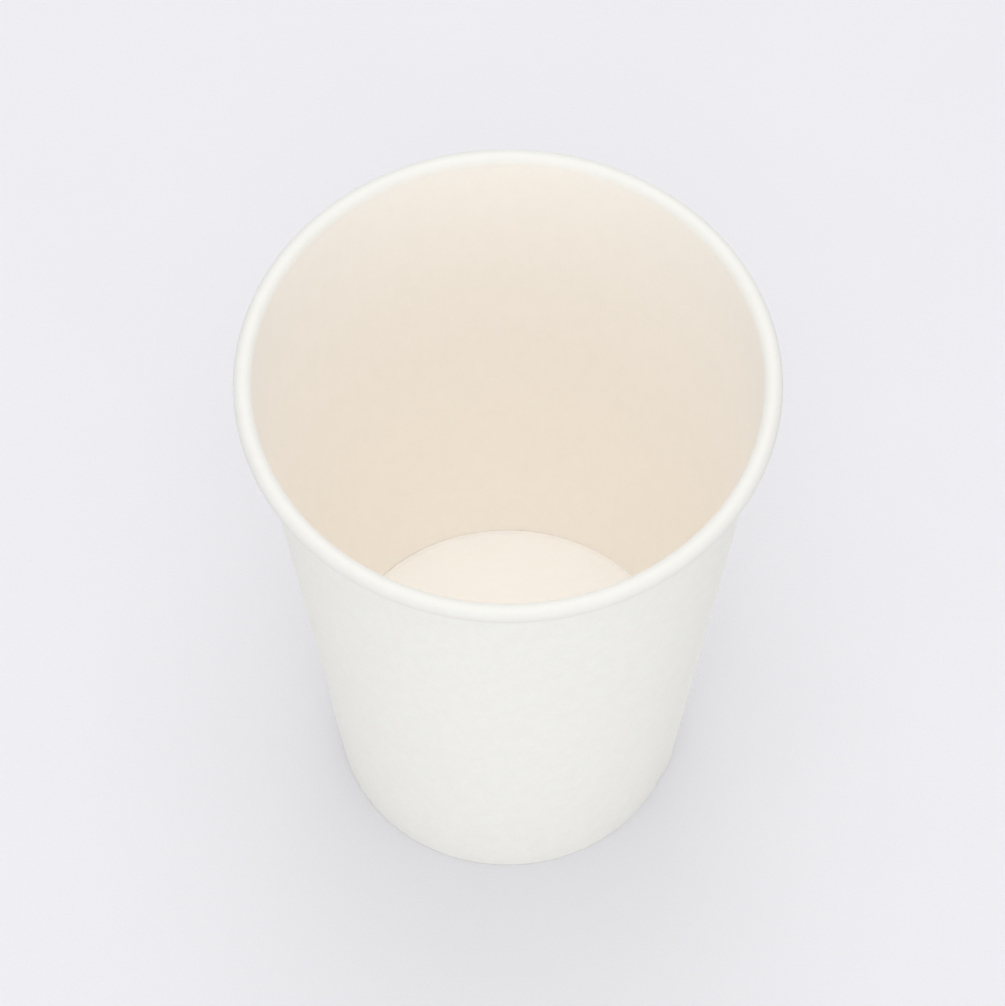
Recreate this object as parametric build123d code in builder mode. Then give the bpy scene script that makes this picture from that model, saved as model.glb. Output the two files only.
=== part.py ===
"""Paper cup for hot drinks: a rolled sidewall and a bottom disc sealed into its foot.

Both pieces are folded from flat coated paperboard, so every section below is a strip of constant
thickness that is bent, rolled or lapped.
Frame: +Z up, millimetres, origin at the centre of the foot, on the surface that the cup stands on.
"""
from build123d import *
import os
from math import acos, atan2, cos, degrees, hypot, radians, sin, tan

os.makedirs("parts", exist_ok=True)

# Overall sizes
cup_height = 115.0  # standing surface to the top of the rim curl
rim_diameter = 90.0  # across the outside of the rim curl
base_diameter = 58.0  # across the outside of the wall where it meets the standing surface

# Board and folds
wall_board = 0.40  # thickness of the sidewall's board
bottom_board = 0.35  # thickness of the bottom's board
seal_film = 0.03  # melted coating between two sealed faces
curl_diameter = 3.2  # across the rolled bead at the rim
curl_tail_turn = 150.0  # degrees that the roll goes on inside itself, past its lowest point
curl_tail_clearance = 0.05  # between the wall and the roll's inner turn
foot_fold_inside = 0.05  # inside radius of the two corners of the fold at the foot
lap_foot_radius = 0.40  # outside radius where the lap's outer layer is pressed in at the foot

# Bottom
floor_height = 13.8  # standing surface to the drinking side of the bottom
floor_bend_radius = 0.6  # inside radius where the disc turns down into its skirt
skirt_clearance = 0.5  # between the skirt's cut edge and the fold under it
hem_below_floor = 2.3  # from the drinking side of the bottom down to the hem's cut edge

# Side seam
seam_angle = -4.0  # degrees from +X to the outer layer's cut edge, at the foot
lap_width = 8.0  # overlap of the two layers
lap_ramp = 2.5  # length over which the outer layer climbs onto the inner one
channel_width = 1.4  # gap left beside the inner layer's cut edge
channel_depth = 0.25  # and how deep it stays after pressing

# Sizes that follow
rim_radius = rim_diameter / 2
base_radius = base_diameter / 2
curl_radius = curl_diameter / 2
curl_r = rim_radius - curl_radius  # centre of the roll, out from the axis
curl_z = cup_height - curl_radius  # centre of the roll, above the standing surface
curl_inside = curl_radius - wall_board

# The wall leans so that its drinking face runs tangent into the roll
reach = hypot(curl_r - base_radius, curl_z)
lean = acos(curl_inside / reach) - atan2(curl_z, curl_r - base_radius)
lean_deg = degrees(lean)

skirt_depth = wall_board + seal_film  # of the skirt's outer face, inside the wall's outer face
hem_depth = skirt_depth + bottom_board + seal_film  # of the hem's sealed face
foot_depth = hem_depth + wall_board  # of the hem's bare face


def face_radius(height, depth):
    """Radius, at a height, of a face that lies a depth inside the wall's outer face."""
    return base_radius + height * tan(lean) - depth / cos(lean)


def face_point(height, depth):
    """The same place as a point of the half section."""
    return (face_radius(height, depth), height)


def cut_edge(height, depth, board):
    """Two ends of a square-cut board edge: on the face at the depth, and on the face outside it."""
    return face_point(height, depth), face_point(height - board * sin(lean), depth - board)


def around(radius, angle):
    """Point of a level section, at a radius and an angle from +X."""
    return (radius * cos(radians(angle)), radius * sin(radians(angle)))


# Sidewall
wall_top_out = (curl_r - curl_inside * cos(lean), curl_z + curl_inside * sin(lean))
wall_top_in = (curl_r - curl_radius * cos(lean), curl_z + curl_radius * sin(lean))
tail_radius = curl_inside - curl_tail_clearance  # outside radius of the roll's inner turn
tail_z = curl_z - (curl_radius - tail_radius)
tail_end = -90 - curl_tail_turn
hem_height = floor_height - hem_below_floor
hem_bare, hem_sealed = cut_edge(hem_height, foot_depth, wall_board)

lap_top = degrees(lap_width / face_radius(curl_z, 0))  # angle that the lap takes at the rim
lap_bite = 0.8 * wall_board  # how far the lap's solid reaches into the wall's
lap_lift = wall_board / cos(lean)  # how far its outer face stands out, measured level
lap_foot_run = lap_foot_radius * tan((radians(90) - lean) / 2)  # from the sharp corner to the arc


def lap_section(height):
    """Level section of the lap's outer layer: cut edge, flat, and the ramp down to the wall."""
    radius = face_radius(height, 0)
    flat_end = seam_angle - degrees(lap_width / radius)
    ramp_end = flat_end - degrees(lap_ramp / radius)
    with BuildSketch(Plane.XY.offset(height)) as section:
        with BuildLine():
            CenterArc((0, 0), radius + lap_lift, flat_end, seam_angle - flat_end)
            Line(around(radius + lap_lift, flat_end), around(radius, ramp_end))
            Line(around(radius, ramp_end), around(radius - lap_bite, ramp_end))
            CenterArc((0, 0), radius - lap_bite, ramp_end, seam_angle - ramp_end)
            Line(around(radius - lap_bite, seam_angle), around(radius + lap_lift, seam_angle))
        make_face()
    return section.sketch


def channel_section(height):
    """Level section of the channel that the inner layer's cut edge leaves on the drinking side."""
    radius = face_radius(height, wall_board)
    edge = seam_angle - degrees(lap_width / radius)
    far = edge - degrees(channel_width / radius)
    with BuildSketch(Plane.XY.offset(height)) as section:
        with BuildLine():
            Polyline(
                around(radius - channel_depth, edge),
                around(radius + channel_depth, edge),
                around(radius, far),
                around(radius - channel_depth, far),
                close=True,
            )
        make_face()
    return section.sketch


with BuildPart() as sidewall:
    with BuildSketch(Plane.XZ):
        with BuildLine():
            CenterArc((curl_r, curl_z), curl_radius, 180 - lean_deg, lean_deg - 270)
            CenterArc((curl_r, tail_z), tail_radius, -90, -curl_tail_turn)
            Line(
                (curl_r + tail_radius * cos(radians(tail_end)),
                 tail_z + tail_radius * sin(radians(tail_end))),
                (curl_r + (tail_radius - wall_board) * cos(radians(tail_end)),
                 tail_z + (tail_radius - wall_board) * sin(radians(tail_end))),
            )
            CenterArc((curl_r, tail_z), tail_radius - wall_board, -90, -curl_tail_turn)
            CenterArc((curl_r, curl_z), curl_inside, 180 - lean_deg, lean_deg - 270)
            FilletPolyline(
                wall_top_out,
                face_point(0, 0),
                face_point(0, foot_depth),
                hem_bare,
                radius=foot_fold_inside + wall_board,
            )
            Line(hem_bare, hem_sealed)
            FilletPolyline(
                hem_sealed,
                face_point(wall_board, hem_depth),
                face_point(wall_board, wall_board),
                wall_top_in,
                radius=foot_fold_inside,
            )
        make_face()
    revolve(axis=Axis.Z)

    # Lap of the side seam, up the outside of the wall
    loft([lap_section(0), lap_section(curl_z)], ruled=True)

    # The pressed foot of the lap: its lower outside corner is rounded off
    lap_corner = base_radius + lap_lift
    lap_corner_top = (lap_corner + lap_foot_run * sin(lean), lap_foot_run * cos(lean))
    with BuildSketch(Plane.XZ):
        with BuildLine():
            under = (lap_corner - lap_foot_run, 0)
            TangentArc(under, lap_corner_top, tangent=(1, 0))
            Polyline(
                lap_corner_top,
                (lap_corner + lap_width, lap_corner_top[1]),
                (lap_corner + lap_width, -wall_board),
                (lap_corner - lap_foot_run, -wall_board),
                under,
            )
        make_face()
    revolve(axis=Axis.Z, mode=Mode.SUBTRACT)

    # Its outer layer goes on into the roll, on the hollow side
    lap_start = Plane.XZ.rotated((0, 0, seam_angle - lap_top))
    with BuildSketch(lap_start):
        with BuildLine():
            CenterArc((curl_r, curl_z), curl_radius - lap_bite, 180, -270)
            Line((curl_r, curl_z - curl_radius + lap_bite), (curl_r, curl_z - curl_inside + wall_board))
            CenterArc((curl_r, curl_z), curl_inside - wall_board, 180, -270)
            Line((curl_r - curl_inside + wall_board, curl_z), (curl_r - curl_radius + lap_bite, curl_z))
        make_face()
    revolve(axis=Axis.Z, revolution_arc=lap_top)

    # Channel beside the inner layer's cut edge, from under the floor to the rim
    loft([channel_section(hem_height), channel_section(curl_z)], ruled=True, mode=Mode.SUBTRACT)

sidewall.part.label = "sidewall"
export_step(sidewall.part, "parts/sidewall.step")

# Bottom disc
skirt_height = wall_board + skirt_clearance
skirt_in, skirt_out = cut_edge(skirt_height, skirt_depth + bottom_board, bottom_board)

with BuildPart() as bottom_disc:
    with BuildSketch(Plane.XZ):
        with BuildLine():
            FilletPolyline(
                (0, floor_height),
                face_point(floor_height, skirt_depth),
                skirt_out,
                radius=floor_bend_radius + bottom_board,
            )
            Line(skirt_out, skirt_in)
            FilletPolyline(
                skirt_in,
                face_point(floor_height - bottom_board, skirt_depth + bottom_board),
                (0, floor_height - bottom_board),
                radius=floor_bend_radius,
            )
            Line((0, floor_height - bottom_board), (0, floor_height))
        make_face()
    revolve(axis=Axis.Z)

bottom_disc.part.label = "bottom_disc"
export_step(bottom_disc.part, "parts/bottom_disc.step")
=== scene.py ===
"""A paper cup for hot drinks, standing empty on a pale table under soft studio light.

The cup is two folded pieces of coated paperboard: the sidewall, with its rolled rim, glued side
seam and crimped hem, and the bottom disc, whose turned-down skirt is sealed inside that hem.
Lengths are in metres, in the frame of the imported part: +Z up, the foot on z = 0.
"""
import bpy
import math
import numpy as np
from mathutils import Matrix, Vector


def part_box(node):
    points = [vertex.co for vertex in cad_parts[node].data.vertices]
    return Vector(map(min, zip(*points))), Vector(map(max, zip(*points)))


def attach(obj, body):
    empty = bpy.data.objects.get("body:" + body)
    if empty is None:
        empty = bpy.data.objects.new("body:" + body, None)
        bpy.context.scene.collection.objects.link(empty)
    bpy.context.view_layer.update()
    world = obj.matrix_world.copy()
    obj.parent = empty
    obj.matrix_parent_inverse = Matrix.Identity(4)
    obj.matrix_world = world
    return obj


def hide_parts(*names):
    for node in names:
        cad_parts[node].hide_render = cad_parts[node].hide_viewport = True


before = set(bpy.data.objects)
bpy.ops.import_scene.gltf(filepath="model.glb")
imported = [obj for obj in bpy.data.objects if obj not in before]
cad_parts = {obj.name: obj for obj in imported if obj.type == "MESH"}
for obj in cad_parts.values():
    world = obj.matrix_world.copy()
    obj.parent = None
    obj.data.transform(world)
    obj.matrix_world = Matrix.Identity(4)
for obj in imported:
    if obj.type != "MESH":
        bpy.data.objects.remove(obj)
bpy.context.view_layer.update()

MM = 0.001
TURN = 2 * math.pi

# Sizes of the folded board
rim_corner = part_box("sidewall")[1]
floor_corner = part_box("bottom_disc")[1]
CUP_HEIGHT = rim_corner.z
RIM_RADIUS = rim_corner.x
BASE_RADIUS = 29.0 * MM
FLOOR_HEIGHT = floor_corner.z
WALL_BOARD = 0.40 * MM
DISC_BOARD = 0.35 * MM
SEAL_FILM = 0.03 * MM
CURL_RADIUS = 1.6 * MM
TAIL_TURN = math.radians(150)
TAIL_CLEARANCE = 0.05 * MM
FOLD_INSIDE = 0.05 * MM
FLOOR_BEND = 0.6 * MM
SKIRT_CLEARANCE = 0.5 * MM
HEM_BELOW_FLOOR = 2.3 * MM

# Side seam
SEAM_ANGLE = math.radians(-4.0)
LAP_WIDTH = 8.0 * MM
LAP_RAMP = 2.5 * MM
CHANNEL_WIDTH = 1.4 * MM
CHANNEL_DEPTH = 0.25 * MM

# The roll's centre, and the lean that lets the drinking face run tangent into it
CURL_R = RIM_RADIUS - CURL_RADIUS
CURL_Z = CUP_HEIGHT - CURL_RADIUS
CURL_INSIDE = CURL_RADIUS - WALL_BOARD
LEAN = math.acos(CURL_INSIDE / math.hypot(CURL_R - BASE_RADIUS, CURL_Z)) - math.atan2(
    CURL_Z, CURL_R - BASE_RADIUS)

SKIRT_DEPTH = WALL_BOARD + SEAL_FILM
HEM_DEPTH = SKIRT_DEPTH + DISC_BOARD + SEAL_FILM
HEM_HEIGHT = FLOOR_HEIGHT - HEM_BELOW_FLOOR

random = np.random.default_rng(7)


# ---------------------------------------------------------------- shader arithmetic

class Wire:
    """One output of a shader node. Arithmetic on it adds Math nodes beside that node."""

    def __init__(self, nodes, socket):
        self.nodes = nodes
        self.socket = socket

    def math(self, operation, *values):
        inputs = dict(enumerate(values))
        return self.nodes.node("ShaderNodeMath", {"operation": operation}, inputs)

    def __add__(self, other):
        return self.math("ADD", self, other)

    __radd__ = __add__

    def __sub__(self, other):
        return self.math("SUBTRACT", self, other)

    def __rsub__(self, other):
        return self.math("SUBTRACT", other, self)

    def __mul__(self, other):
        return self.math("MULTIPLY", self, other)

    __rmul__ = __mul__

    def __truediv__(self, other):
        return self.math("DIVIDE", self, other)

    def __rtruediv__(self, other):
        return self.math("DIVIDE", other, self)

    def most(self, other):
        """The larger of two values."""
        return self.math("MAXIMUM", self, other)

    def ramp(self, low, high, shape="SMOOTHSTEP"):
        """0 below low, 1 above high, and even or smooth between."""
        settings = {"interpolation_type": shape}
        inputs = {"Value": self, "From Min": low, "From Max": high}
        return self.nodes.node("ShaderNodeMapRange", settings, inputs)

    def steps(self, stops):
        """A value that runs in straight lines through pairs of (this value, result)."""
        total = stops[0][1]
        for (start, low), (end, high) in zip(stops, stops[1:]):
            total = self.ramp(start, end, "LINEAR") * (high - low) + total
        return total


class Nodes:
    """A shader tree that is written as expressions on its values."""

    def __init__(self, tree):
        self.tree = tree
        self.tree.nodes.clear()

    def node(self, kind, settings=None, inputs=None, output=0):
        """Adds a node, sets it, fills its sockets with values or links, and returns one output."""
        node = self.tree.nodes.new(kind)
        for key, value in (settings or {}).items():
            setattr(node, key, value)
        for key, value in (inputs or {}).items():
            if isinstance(value, Wire):
                self.tree.links.new(value.socket, node.inputs[key])
            else:
                node.inputs[key].default_value = value
        return None if output is None else Wire(self, node.outputs[output])

    def vector(self, operation, first, second=(0, 0, 0), output=0):
        """Vector Math on one or two vectors."""
        inputs = {0: first, 1: second}
        return self.node("ShaderNodeVectorMath", {"operation": operation}, inputs, output)

    def part(self, vector, axis):
        """One of a vector's three numbers."""
        return self.node("ShaderNodeSeparateXYZ", None, {"Vector": vector}, axis)


class Finish(Nodes):
    """A material of the cup or the table."""

    def __init__(self, name):
        self.material = bpy.data.materials.new(name)
        self.material.use_nodes = True
        super().__init__(self.material.node_tree)
        self.place = self.node("ShaderNodeTexCoord", output="Object")

    def noise(self, size, detail=2.0, rough=0.5, stretch=(1, 1, 1)):
        """Soft noise whose marks measure about size metres, longer where stretch is above 1."""
        place = self.node("ShaderNodeMapping", None, {
            "Vector": self.place,
            "Scale": tuple(1 / (size * s) for s in stretch),
        })
        inputs = {"Vector": place, "Scale": 1.0, "Detail": detail, "Roughness": rough}
        return self.node("ShaderNodeTexNoise", None, inputs)

    def mix(self, share, first, second):
        """A colour that goes from first to second as share goes from 0 to 1."""
        inputs = {"Factor": share, 6: first, 7: second}
        return self.node("ShaderNodeMix", {"data_type": "RGBA"}, inputs, output=2)

    def height(self):
        """Height above the table, in metres."""
        return self.part(self.place, "Z")

    def radius(self):
        """Distance from the cup's axis, in metres."""
        level = self.vector("MULTIPLY", self.place, (1, 1, 0))
        return self.vector("LENGTH", level, output="Value")

    def bump(self, relief, depth, under=None):
        """Normal of a surface whose relief, from 0 to 1, stands depth metres high."""
        inputs = {"Height": relief, "Distance": depth, "Strength": 1.0}
        if under is not None:
            inputs["Normal"] = under
        return self.node("ShaderNodeBump", None, inputs)

    def surface(self, **sockets):
        """Closes the material with a Principled surface."""
        inputs = {key.replace("_", " "): value for key, value in sockets.items()}
        shader = self.node("ShaderNodeBsdfPrincipled", None, inputs)
        self.node("ShaderNodeOutputMaterial", None, {"Surface": shader}, output=None)
        return self.material


# ---------------------------------------------------------------- finishes of the board

def board_outside():
    """Bare side of the board: matt white, with fibres pressed flat along the wall."""
    board = Finish("board_outside")
    cloud = board.noise(2.2 * MM, detail=3, rough=0.6, stretch=(1, 1, 1.6))
    fibre = board.noise(0.30 * MM, detail=3, rough=0.65, stretch=(1, 1, 3.0))
    grain = board.noise(0.10 * MM, detail=2, rough=0.6)
    shade = cloud * 0.4 + fibre * 0.6
    colour = board.mix(shade.ramp(0.32, 0.68), (0.894, 0.889, 0.840, 1), (0.928, 0.925, 0.882, 1))
    relief = board.bump(fibre, 0.010 * MM, under=board.bump(cloud, 0.008 * MM))
    return board.surface(
        Base_Color=colour,
        Roughness=0.72 + grain * 0.16,
        IOR=1.45,
        Normal=board.bump(grain, 0.005 * MM, under=relief),
    )


def board_drinking_side():
    """Coated side: a thin warm film over the board, satin, with painted shade that makes the roll's
    top and outer side darker and greyer.
    """
    board = Finish("board_drinking_side")
    cloud = board.noise(2.6 * MM, detail=3, rough=0.6, stretch=(1, 1, 1.6))
    peel = board.noise(0.45 * MM, detail=2, rough=0.55, stretch=(1, 1, 1.8))
    shade = cloud * 0.5 + peel * 0.5
    colour = board.mix(shade.ramp(0.32, 0.68), (0.952, 0.918, 0.868, 1), (0.970, 0.936, 0.889, 1))
    # Painted shade: the top and outer side of the roll get a darker, greyer colour than the rest of
    # this face, standing in for the shade on the rim's flank
    roll_painted_shade_top = board.height().ramp(CURL_Z - 0.2 * MM, CURL_Z + 1.5 * MM)
    outside = board.radius().ramp(CURL_R - 0.6 * MM, CURL_R)
    # The roll's colour: painted shade, darker and greyer than the coated face below it
    roll = board.mix(shade.ramp(0.32, 0.68), (0.834, 0.828, 0.790, 1), (0.852, 0.846, 0.809, 1))
    colour = board.mix(roll_painted_shade_top.most(outside), colour, roll)
    relief = board.bump(peel, 0.010 * MM, under=board.bump(cloud, 0.012 * MM))
    return board.surface(
        Base_Color=colour,
        Roughness=0.46 + peel * 0.14,
        IOR=1.50,
        Normal=relief,
    )


def board_cut_edge():
    """Cut edge of the board: torn ends of fibres, a little darker and rough."""
    board = Finish("board_cut_edge")
    layers = board.noise(0.08 * MM, detail=3, rough=0.7)
    colour = board.mix(layers.ramp(0.25, 0.75), (0.690, 0.675, 0.640, 1), (0.800, 0.790, 0.765, 1))
    return board.surface(
        Base_Color=colour,
        Roughness=0.86 + layers * 0.10,
        Normal=board.bump(layers, 0.030 * MM),
    )


def disc_drinking_side():
    """Coated side of the bottom: the same film, on a smoother board."""
    board = Finish("disc_drinking_side")
    cloud = board.noise(3.0 * MM, detail=3, rough=0.6, stretch=(1.8, 1, 1))
    peel = board.noise(0.50 * MM, detail=2, rough=0.5, stretch=(1.8, 1, 1))
    shade = cloud * 0.5 + peel * 0.5
    colour = board.mix(shade.ramp(0.32, 0.68), (0.944, 0.940, 0.936, 1), (0.963, 0.960, 0.958, 1))
    relief = board.bump(peel, 0.010 * MM, under=board.bump(cloud, 0.012 * MM))
    return board.surface(
        Base_Color=colour,
        Roughness=0.44 + peel * 0.14,
        IOR=1.50,
        Normal=relief,
    )


def table_top():
    """Pale smooth table with a faint cool tone and a very fine tooth."""
    table = Finish("table_top")
    cloud = table.noise(40 * MM, detail=2)
    tooth = table.noise(0.45 * MM, detail=2, rough=0.6)
    shade = cloud * 0.3 + tooth * 0.7
    colour = table.mix(shade.ramp(0.3, 0.7), (0.794, 0.790, 0.823, 1), (0.814, 0.810, 0.843, 1))
    return table.surface(Base_Color=colour, Roughness=0.90)


# ---------------------------------------------------------------- bent and rolled board

def smooth(share):
    """Eases from 0 to 1 as share goes from 0 to 1, and stays level outside that."""
    share = np.clip(share, 0, 1)
    return share * share * (3 - 2 * share)


def face_radius(height, depth):
    """Radius, at a height, of a face that lies a depth inside the wall's outer face."""
    return BASE_RADIUS + height * math.tan(LEAN) - depth / math.cos(LEAN)


def arc(centre, radius, start, sweep, steps):
    """Points of an arc in the half section, with the direction from each to the arc's centre."""
    turn = start + sweep * np.linspace(0, 1, steps + 1)
    away = np.stack([np.cos(turn), np.sin(turn)], -1)
    return np.array(centre) + radius * away, -away


def straight(first, last, steps, inward):
    """Points of a straight run and the one direction square to it."""
    share = np.linspace(0, 1, steps + 1)[:, None]
    points = np.array(first) * (1 - share) + np.array(last) * share
    return points, np.repeat(np.array([inward]), steps + 1, 0)


def chain(*runs):
    """Joins runs end to end, dropping the point that each shares with the run before it."""
    points = [runs[0][0]] + [run[0][1:] for run in runs[1:]]
    normals = [runs[0][1]] + [run[1][1:] for run in runs[1:]]
    return np.concatenate(points), np.concatenate(normals)


def corner_arc(corner, before, after, radius, steps):
    """Arc that rounds a corner between two unit directions, with the way from it to its centre."""
    before, after = np.array(before), np.array(after)
    half = math.acos(float(np.clip(before @ after, -1, 1))) / 2
    start = np.array(corner) - before * radius * math.tan(half)
    side = np.array([before[1], -before[0]])
    if side @ after < 0:
        side = -side
    centre = start + side * radius
    first = math.atan2(*(start - centre)[::-1])
    cross = before[0] * after[1] - before[1] * after[0]
    return arc(centre, radius, first, math.copysign(2 * half, cross), steps)


def loop_mesh(name, points, faces_finish, finishes, poles=False):
    """Closed skin over rings of points, points[column][row].

    faces_finish[column][row] gives the finish between a row and the next one. With poles, the
    first and last rows close on the axis, and otherwise the rows close on each other.
    """
    columns, rows = points.shape[:2]
    index = np.arange(columns * rows).reshape(columns, rows)
    beside = np.roll(index, -1, 0)
    if poles:
        quads = np.stack([index[:, :-1], index[:, 1:], beside[:, 1:], beside[:, :-1]], -1)
        used = faces_finish[:, : rows - 1]
    else:
        ahead, beside_ahead = np.roll(index, -1, 1), np.roll(beside, -1, 1)
        quads = np.stack([index, ahead, beside_ahead, beside], -1)
        used = faces_finish
    faces = quads.reshape(-1, 4).tolist()
    finish = used.reshape(-1).tolist()
    vertices = points.reshape(-1, 3).tolist()
    if poles:
        for row, flip in ((0, False), (rows - 1, True)):
            centre = points[:, row].mean(0)
            vertices.append(centre.tolist())
            middle = len(vertices) - 1
            for column in range(columns):
                pair = [int(index[column, row]), int(beside[column, row])]
                if flip:
                    pair.reverse()
                faces.append([middle] + pair)
                finish.append(int(faces_finish[column, min(row, rows - 2)]))
    mesh = bpy.data.meshes.new(name)
    mesh.from_pydata(vertices, [], faces)
    for item in finishes:
        mesh.materials.append(item)
    mesh.polygons.foreach_set("material_index", np.array(finish, np.int32))
    mesh.polygons.foreach_set("use_smooth", np.ones(len(faces), bool))
    mesh.set_sharp_from_angle(angle=math.radians(38))
    mesh.update()
    piece = bpy.data.objects.new(name, mesh)
    bpy.context.scene.collection.objects.link(piece)
    return piece


def settle(piece, node):
    """Puts a piece in the place of its CAD node."""
    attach(piece, "root")
    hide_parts(node)
    return piece


# ---------------------------------------------------------------- sidewall

OUTSIDE, DRINKING, CUT = 0, 1, 2
SEAM_MARGIN = 2.0 * MM
ROUND_COLUMNS = 624
FOLD_STEPS = 4
CRIMPS = 104
CRIMP_DEPTH = 0.09 * MM
CRIMP_LOW = 2.2 * MM
CRIMP_HIGH = 9.6 * MM

# Slack in the wall: waves round the cup, half waves up it, and millimetres of depth
SLACK = ((2, 0.8, 0.10), (3, 1.3, 0.06), (5, 1.9, 0.03), (7, 2.6, 0.02))


def seam_columns():
    """Distances past the outer layer's cut edge at which the seam's columns stand."""
    step = 0.03 * MM
    flat = np.linspace(0.6 * MM, LAP_WIDTH - 0.6 * MM, 8)
    climb = LAP_WIDTH + LAP_RAMP * np.linspace(0.12, 1, 8)
    near = [-SEAM_MARGIN, -0.8 * MM, -0.25 * MM, -step, step, 0.2 * MM]
    far = [LAP_WIDTH - 0.2 * MM, LAP_WIDTH - step, LAP_WIDTH + step]
    return np.array([*near, *flat, *far, *climb, LAP_WIDTH + LAP_RAMP + SEAM_MARGIN])


def sidewall():
    """The rolled blank: hem, foot fold, leaning wall and rim roll, with the side seam's lap."""
    up = np.array([math.sin(LEAN), math.cos(LEAN)])
    outward = np.array([math.cos(LEAN), -math.sin(LEAN)])

    # Drinking face of the sheet, from the hem's edge round the foot, up the wall, into the roll
    hem_top = np.array([face_radius(HEM_HEIGHT, HEM_DEPTH), HEM_HEIGHT])
    fold_back = np.array([face_radius(WALL_BOARD, HEM_DEPTH), WALL_BOARD])
    fold_front = np.array([face_radius(WALL_BOARD, WALL_BOARD), WALL_BOARD])
    wall_top = np.array([CURL_R - CURL_RADIUS * outward[0], CURL_Z - CURL_RADIUS * outward[1]])
    back = corner_arc(fold_back, -up, (1, 0), FOLD_INSIDE, FOLD_STEPS)
    front = corner_arc(fold_front, (1, 0), up, FOLD_INSIDE, FOLD_STEPS)
    hem = straight(hem_top, back[0][0], 9, -outward)
    wall = straight(front[0][-1], wall_top, 18, outward)
    roll_sweep = -(1.5 * math.pi - LEAN)
    roll = arc((CURL_R, CURL_Z), CURL_RADIUS, math.pi - LEAN, roll_sweep, 24)
    tail_radius = CURL_INSIDE - TAIL_CLEARANCE
    tail_z = CURL_Z - (CURL_RADIUS - tail_radius)
    tail = arc((CURL_R, tail_z), tail_radius, -math.pi / 2, -TAIL_TURN, 10)

    # In the fold, the arcs curve the other way: the board lies outside them
    back = (back[0], -back[1])
    front = (front[0], -front[1])
    face, across = chain(hem, back, front, wall, roll, tail)
    rows = len(face)
    hem_rows = len(hem[0])
    tail_rows = len(tail[0]) - 1
    wall_end = rows - tail_rows - (len(roll[0]) - 1)

    # Where the columns stand
    seam = seam_columns()
    seam_span = seam[-1] - seam[0]
    share = np.arange(1, ROUND_COLUMNS) / ROUND_COLUMNS
    local_radius = np.maximum(face[:, 0], BASE_RADIUS)
    turn_seam = SEAM_ANGLE - seam[:, None] / local_radius
    rest = TURN - seam_span / local_radius
    turn_round = SEAM_ANGLE - seam[-1] / local_radius - share[:, None] * rest
    turn = np.concatenate([turn_seam, turn_round])
    past_edge = np.concatenate([seam, np.full(len(share), -1.0)])

    # Board thickness: two layers in the lap, easing to one in the roll's hidden tail
    lift = np.where(past_edge > 0, 1 - smooth((past_edge - LAP_WIDTH) / LAP_RAMP), 0)
    lapped = np.ones(rows)
    lapped[-tail_rows:] = 0
    lapped[-tail_rows - 3:-tail_rows] = (0.75, 0.5, 0.25)
    thickness = WALL_BOARD * (1 + lift[:, None] * lapped)

    # Crimp marks pressed into the hem's bare face
    zone = smooth((face[:, 1] - CRIMP_LOW) / MM) * smooth((CRIMP_HIGH - face[:, 1]) / MM)
    zone[hem_rows:] = 0
    ridge = (0.5 + 0.5 * np.cos(CRIMPS * turn)) ** 1.5
    thickness = thickness - CRIMP_DEPTH * ridge * zone

    # Channel beside the inner layer's cut edge, on the drinking side of the wall
    beside = (past_edge - LAP_WIDTH) / CHANNEL_WIDTH
    channel = np.where((beside > 0) & (beside < 1), CHANNEL_DEPTH * (1 - beside), 0)
    on_wall = np.zeros(rows)
    on_wall[hem_rows + 2 * FOLD_STEPS:wall_end] = 1

    # The tail keeps clear of the lap's second layer
    near_lap = smooth((past_edge + SEAM_MARGIN) / SEAM_MARGIN)
    near_lap *= smooth((LAP_WIDTH + LAP_RAMP + SEAM_MARGIN - past_edge) / SEAM_MARGIN)
    tuck = np.zeros(rows)
    tuck[-tail_rows:] = smooth(np.arange(1, tail_rows + 1) / 3)
    towards = np.array([CURL_R, tail_z]) - face
    towards /= np.linalg.norm(towards, axis=1)[:, None]

    section = np.repeat(face[None], len(turn), 0)
    section = section + across * (channel[:, None] * on_wall)[..., None]
    section = section + towards * (near_lap[:, None] * tuck * WALL_BOARD)[..., None]
    solid = thickness - channel[:, None] * on_wall
    reverse = section + across * solid[..., None]

    # A little slack in the wall, as formed board has, fading out at the foot and the roll
    height = section[..., 1] / CUP_HEIGHT
    slack = np.zeros_like(height)
    for waves, rise, depth in SLACK:
        phase = random.uniform(0, TURN, 2)
        slack += depth * np.sin(waves * turn + phase[0]) * np.cos(rise * math.pi * height + phase[1])
    slack *= MM * smooth((height - 0.10) / 0.15) * smooth((0.985 - height) / 0.10)
    section[..., 0] += slack
    reverse[..., 0] += slack

    # Pressed flat on the table at the foot, and inside the rim's circle at the roll
    reverse[..., 1] = np.maximum(reverse[..., 1], 0)
    profile = np.concatenate([section, reverse[:, ::-1]], 1)
    turns = np.concatenate([turn, turn[:, ::-1]], 1)
    points = np.stack([
        profile[..., 0] * np.cos(turns),
        profile[..., 0] * np.sin(turns),
        profile[..., 1],
    ], -1)

    finish = np.full(points.shape[:2], OUTSIDE)
    finish[:, : rows - 1] = DRINKING
    finish[:, rows - 1] = CUT
    finish[:, -1] = CUT
    outer_edge = int(np.argmax(past_edge > 0)) - 1
    inner_edge = int(np.argmax(past_edge > LAP_WIDTH)) - 1
    finish[outer_edge, rows:-1] = CUT
    finish[inner_edge, : rows - 1][on_wall[:-1] > 0] = CUT
    finishes = [board_outside(), board_drinking_side(), board_cut_edge()]
    return settle(loop_mesh("sidewall_board", points, finish, finishes), "sidewall")


# ---------------------------------------------------------------- bottom disc

DISC_COLUMNS = 256
PUCKERS = 64
PUCKER_DEPTH = 0.012 * MM
SAG = 0.12 * MM
FILL_BELOW_FLOOR = 0.22 * MM
FILL_FILLET = 0.12 * MM


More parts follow.
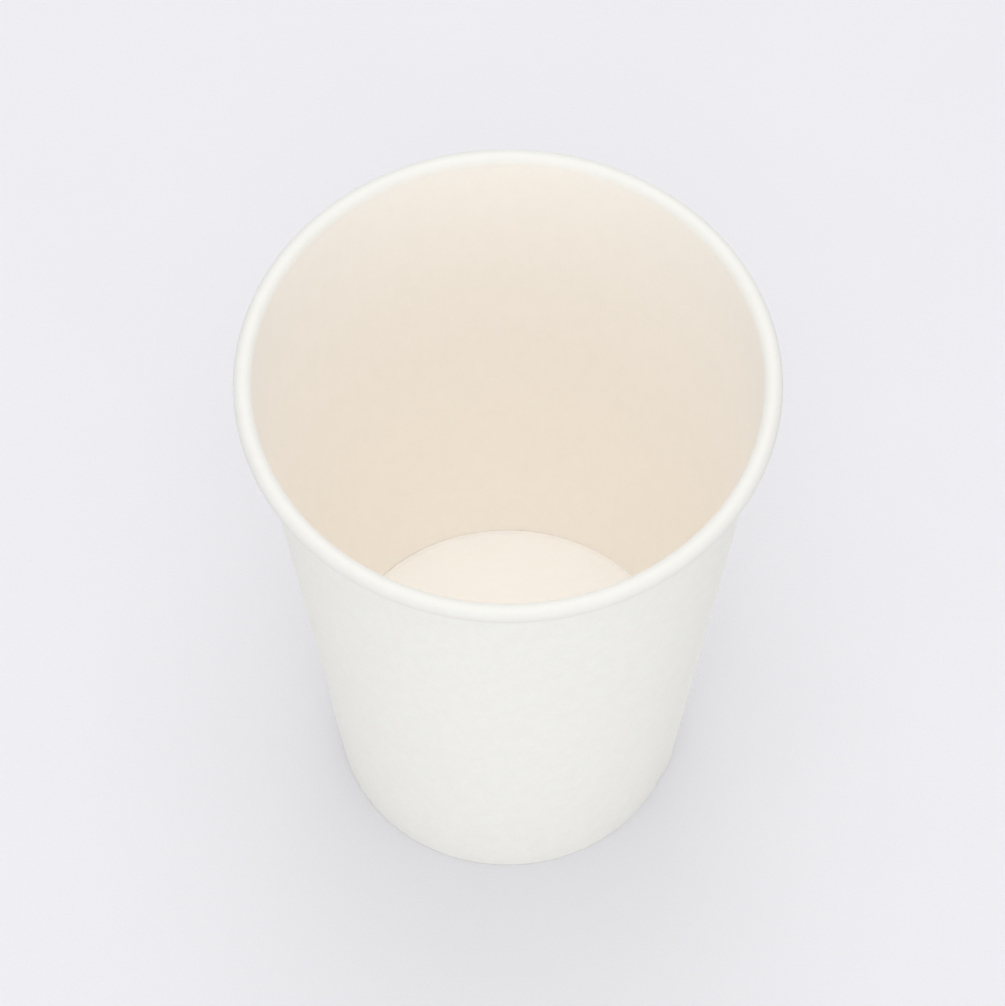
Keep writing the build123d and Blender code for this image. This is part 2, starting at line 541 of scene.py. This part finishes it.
def bottom_disc():
    """The bottom: a flat disc, a tight bend, and the skirt that is sealed inside the hem."""
    down = np.array([-math.sin(LEAN), -math.cos(LEAN)])
    inward = np.array([-math.cos(LEAN), math.sin(LEAN)])
    bend_radius = FLOOR_BEND + DISC_BOARD
    edge = np.array([face_radius(FLOOR_HEIGHT, SKIRT_DEPTH), FLOOR_HEIGHT])
    skirt_low = WALL_BOARD + SKIRT_CLEARANCE
    skirt_end = np.array([face_radius(skirt_low, SKIRT_DEPTH), skirt_low])
    bend = corner_arc(edge, (1, 0), down, bend_radius, 16)
    first = np.array([1.0 * MM, FLOOR_HEIGHT])
    floor = straight(first, bend[0][0], 14, (0, -1))
    skirt = straight(bend[0][-1], skirt_end, 6, inward)
    face, across = chain(floor, bend, skirt)
    rows = len(face)

    turn = -TURN * np.arange(DISC_COLUMNS) / DISC_COLUMNS
    section = np.repeat(face[None], DISC_COLUMNS, 0)

    # The disc sags a little, and its edge puckers faintly where the flat blank is drawn down
    out = face[:, 0] / edge[0]
    sag = SAG * smooth((0.97 - out) / 0.5)
    pucker = np.exp(-((out - 0.985) / 0.012) ** 2)
    wander = 0.4 * np.sin(5 * turn) + 0.3 * np.sin(3 * turn + 1.0)
    section[..., 1] -= sag
    section[..., 1] -= PUCKER_DEPTH * pucker * (1 + np.cos(PUCKERS * turn + 6 * wander))[:, None]

    # Melted coating fills the crevice between the bend and the wall, to just under the floor
    fill_top = FLOOR_HEIGHT - FILL_BELOW_FLOOR * (1 + 0.25 * wander)[:, None]
    crevice = face_radius(section[..., 1], SKIRT_DEPTH) - section[..., 0]
    filled = smooth((fill_top + 0.5 * FILL_FILLET - section[..., 1]) / FILL_FILLET)
    filled[:, : len(floor[0])] = 0
    section[..., 0] += crevice * filled
    reverse = section + across * DISC_BOARD

    profile = np.concatenate([section, reverse[:, ::-1]], 1)
    points = np.stack([
        profile[..., 0] * np.cos(turn)[:, None],
        profile[..., 0] * np.sin(turn)[:, None],
        profile[..., 1],
    ], -1)
    finish = np.full(points.shape[:2], OUTSIDE)
    finish[:, : rows - 1] = DRINKING
    finish[:, rows - 1] = CUT
    finishes = [bpy.data.materials["board_outside"], disc_drinking_side(),
                bpy.data.materials["board_cut_edge"]]
    piece = loop_mesh("bottom_board", points, finish, finishes, poles=True)
    return settle(piece, "bottom_disc")


# ---------------------------------------------------------------- studio

CAMERA_TARGET = Vector((-0.894 * MM, 0, 74.45 * MM))
CAMERA_DISTANCE = 1.5068
CAMERA_ELEVATION = math.radians(59.686)
CAMERA_LENS = 322.37
LIGHT_DISTANCE = 2.0
TABLE_WIDTH = 6.0

# Brightness of the room at heights in degrees above the horizon
ROOM_IN_FRONT = ((0, 1.75), (20, 1.35), (40, 0.67), (65, 0.97), (90, 1.21))
ROOM_BEHIND = ((0, 0.00), (20, 1.00), (40, 1.00), (65, 1.33), (90, 1.21))
ROOM_AT_SIDES = ((0, 0.00), (20, 0.60), (40, 0.82), (65, 0.80), (90, 1.21))


def camera():
    """Looks down on the cup from in front, through a long lens."""
    data = bpy.data.cameras.new("camera")
    data.lens = CAMERA_LENS
    data.sensor_width = 36
    data.clip_end = 20
    away = Vector((0, -math.cos(CAMERA_ELEVATION), math.sin(CAMERA_ELEVATION)))
    holder = bpy.data.objects.new("camera", data)
    holder.location = CAMERA_TARGET + CAMERA_DISTANCE * away
    holder.rotation_euler = (-away).to_track_quat("-Z", "Y").to_euler()
    bpy.context.scene.collection.objects.link(holder)
    bpy.context.scene.camera = holder


def softbox(name, azimuth, elevation, size, power):
    """A square soft light that faces the cup's middle. Azimuth 0 is in front, 180 behind."""
    data = bpy.data.lights.new(name, "AREA")
    data.shape = "SQUARE"
    data.size = size
    data.energy = power
    azimuth, elevation = math.radians(azimuth), math.radians(elevation)
    away = Vector((
        math.sin(azimuth) * math.cos(elevation),
        -math.cos(azimuth) * math.cos(elevation),
        math.sin(elevation),
    ))
    holder = bpy.data.objects.new(name, data)
    holder.location = Vector((0, 0, CUP_HEIGHT / 2)) + LIGHT_DISTANCE * away
    holder.rotation_euler = (-away).to_track_quat("-Z", "Y").to_euler()
    bpy.context.scene.collection.objects.link(holder)


def room():
    """Light of the room by direction: bright low in front, and dark low at the sides and behind."""
    world = bpy.data.worlds.new("room")
    world.use_nodes = True
    bpy.context.scene.world = world
    sky = Nodes(world.node_tree)
    way = sky.node("ShaderNodeTexCoord", output="Generated")
    across, along, up = sky.part(way, "X"), sky.part(way, "Y"), sky.part(way, "Z")
    rise = up.math("ARCSINE", up) * math.degrees(1)
    forward = (0 - along).most(0)
    backward = along.most(0)
    front = forward * forward * rise.steps(ROOM_IN_FRONT)
    back = backward * backward * rise.steps(ROOM_BEHIND)
    sides = across * across * rise.steps(ROOM_AT_SIDES)
    level = (across * across + along * along).most(0.000001)  # never 0, even straight overhead
    light = (front + back + sides) / level
    glow = sky.node("ShaderNodeBackground", None, {"Color": (1, 1, 1, 1), "Strength": light})
    sky.node("ShaderNodeOutputWorld", None, {"Surface": glow}, output=None)


def studio():
    """Pale table in a pale room, with three small soft lights, overhead, in front and behind."""
    bpy.ops.mesh.primitive_plane_add(size=TABLE_WIDTH, location=(0, 0, 0))
    table = bpy.context.object
    table.name = "table"
    table.data.materials.append(table_top())
    room()
    softbox("top_light", 0, 89, 1.0, 4.7)
    softbox("front_light", 0, 60, 0.6, 2.4)
    softbox("back_light", 180, 60, 0.6, 1.5)
    bpy.context.scene.view_settings.view_transform = "Standard"
    bpy.context.scene.cycles.diffuse_bounces = 10


sidewall()
bottom_disc()
studio()
camera()
